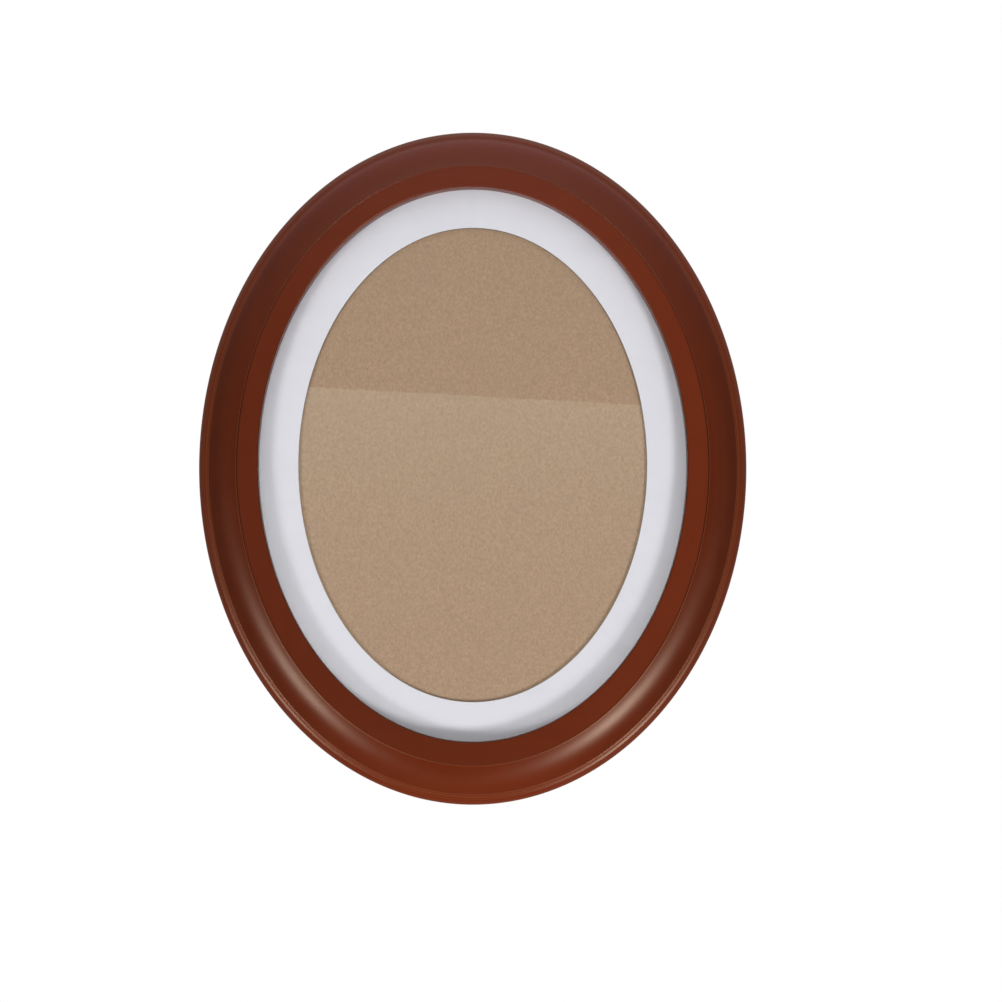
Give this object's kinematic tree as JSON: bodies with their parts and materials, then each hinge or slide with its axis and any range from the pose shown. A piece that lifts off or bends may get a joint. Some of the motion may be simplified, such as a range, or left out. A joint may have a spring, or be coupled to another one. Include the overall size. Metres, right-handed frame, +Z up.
{
  "type": "oval picture frame",
  "caption": "Wall-hung oval wooden picture frame with a coved moulding, glass, white oval mat, fibreboard back held by turn buttons, and a hanger ring.",
  "frame": {"origin": "the hanging point: on the wall plane, at the top inside the hanger ring where the nail bears; the oval's centre is 150.3 mm below it", "axes": "+Z up, +X to the right as seen by a viewer in front, +Y into the wall; the picture faces -Y"},
  "size_m": [0.255, 0.0192, 0.315],
  "materials": {
    "stained_wood": "red-brown stain under semi-gloss lacquer",
    "plain_wood": "bare",
    "clear_glass": "clear float glass",
    "mat_board": "smooth white paper face on a grey-brown core",
    "fibreboard": "bare sanded fibreboard",
    "zinc_steel": "zinc plated",
    "brass_plate": "brass plated",
    "bumper_rubber": "matt black"
  },
  "bodies": {
    "frame": {"frame_top": "stained_wood", "frame_right": "stained_wood", "frame_bottom": "stained_wood", "frame_left": "stained_wood", "spline_upper_right": "plain_wood", "spline_upper_left": "plain_wood", "spline_lower_left": "plain_wood", "spline_lower_right": "plain_wood", "glass_pane": "clear_glass", "white_mat": "mat_board", "backing_board": "fibreboard", "button_screws": "zinc_steel", "hanger_plate": "brass_plate", "hanger_screws": "brass_plate", "wall_bumper_left": "bumper_rubber", "wall_bumper_right": "bumper_rubber"},
    "button_right": {"turn_button_right": "zinc_steel"},
    "button_upper_right": {"turn_button_upper_right": "zinc_steel"},
    "button_upper_left": {"turn_button_upper_left": "zinc_steel"},
    "button_left": {"turn_button_left": "zinc_steel"},
    "button_lower_left": {"turn_button_lower_left": "zinc_steel"},
    "button_lower_right": {"turn_button_lower_right": "zinc_steel"},
    "ring": {"hanger_ring": "brass_plate"}
  },
  "joints": [
    {"name": "button_right_turn", "type": "hinge", "parent": "frame", "child": "button_right", "pos_m": [0.112, -0.0035, -0.1503], "axis": [0, 1, 0], "continuous": true},
    {"name": "button_upper_right_turn", "type": "hinge", "parent": "frame", "child": "button_upper_right", "pos_m": [0.05475, -0.0035, -0.02652], "axis": [0, 1, 0], "continuous": true},
    {"name": "button_upper_left_turn", "type": "hinge", "parent": "frame", "child": "button_upper_left", "pos_m": [-0.05475, -0.0035, -0.02652], "axis": [0, 1, 0], "continuous": true},
    {"name": "button_left_turn", "type": "hinge", "parent": "frame", "child": "button_left", "pos_m": [-0.112, -0.0035, -0.1503], "axis": [0, 1, 0], "continuous": true},
    {"name": "button_lower_left_turn", "type": "hinge", "parent": "frame", "child": "button_lower_left", "pos_m": [-0.05475, -0.0035, -0.27408], "axis": [0, 1, 0], "continuous": true},
    {"name": "button_lower_right_turn", "type": "hinge", "parent": "frame", "child": "button_lower_right", "pos_m": [0.05475, -0.0035, -0.27408], "axis": [0, 1, 0], "continuous": true},
    {"name": "ring_swing", "type": "hinge", "parent": "frame", "child": "ring", "pos_m": [0, -0.00195, -0.01], "axis": [-1, 0, 0], "range_deg": [-2, 182]}
  ]
}
